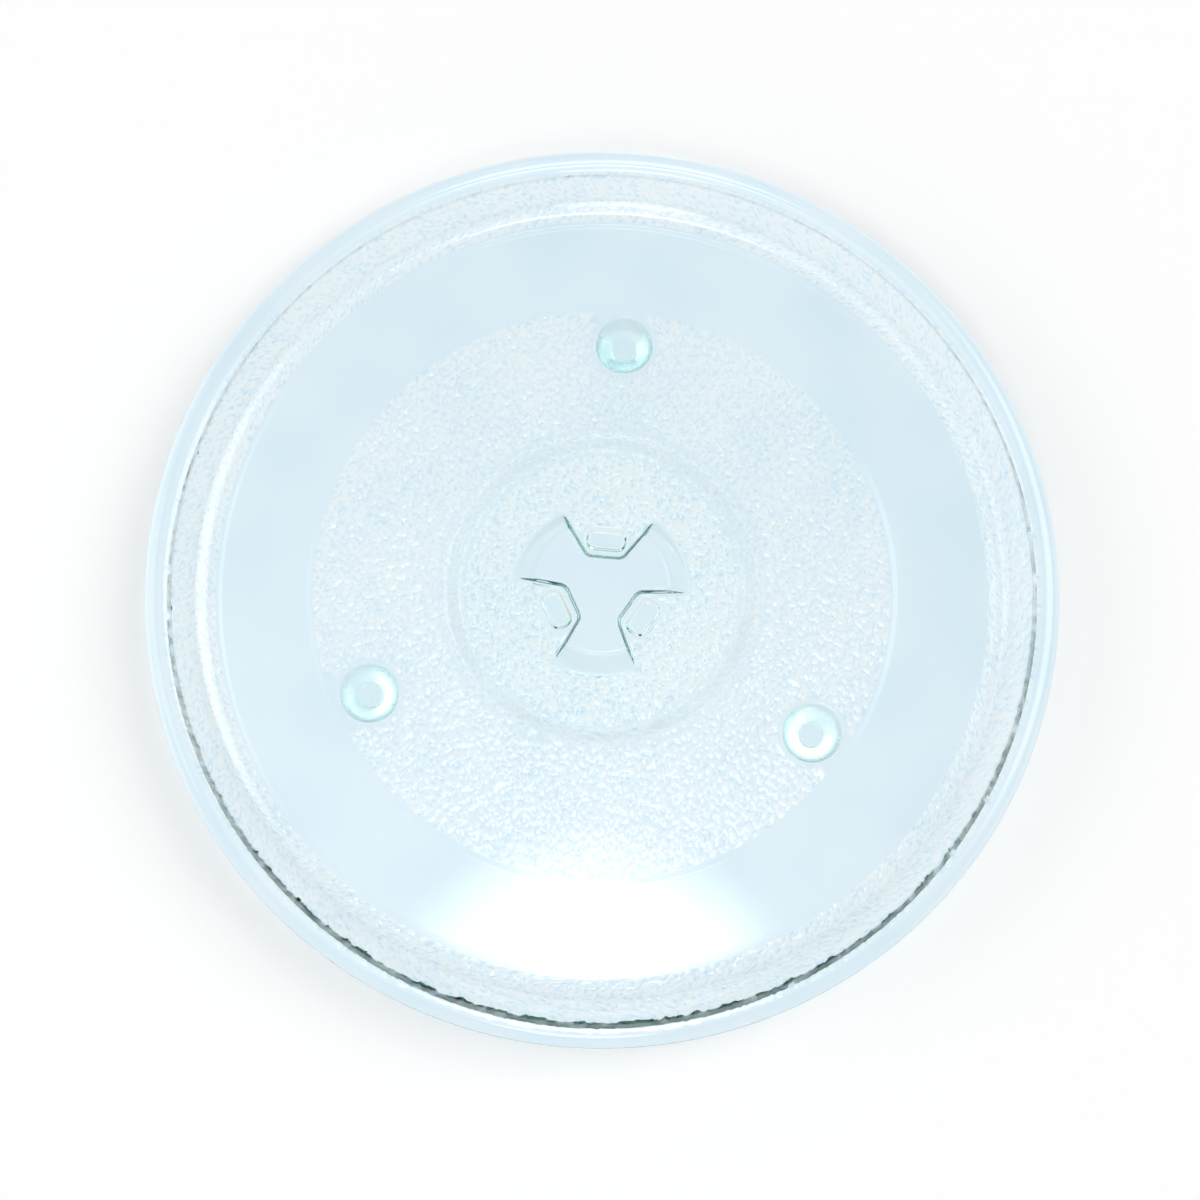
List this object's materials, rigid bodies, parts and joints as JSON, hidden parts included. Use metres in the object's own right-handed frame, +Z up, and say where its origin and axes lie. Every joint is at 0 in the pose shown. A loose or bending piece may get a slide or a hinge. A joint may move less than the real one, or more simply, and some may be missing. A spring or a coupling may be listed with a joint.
{
  "type": "microwave turntable plate",
  "caption": "Round shallow dish of clear pressed glass that turns food in a microwave oven, with a rounded rim, a smooth roller track, blunt feet and a lobed drive socket underneath.",
  "frame": {"origin": "on the turning axis, at the level of the tips of the three feet", "axes": "+Z up along the turning axis, out of the open side of the dish; +Y from the axis towards one foot"},
  "size_m": [0.245, 0.245, 0.019],
  "materials": {
    "clear_glass": "clear pressed glass with a pale blue tint, smooth on top and stippled underneath"
  },
  "bodies": {
    "root": {"turntable_plate": "clear_glass"}
  },
  "joints": []
}
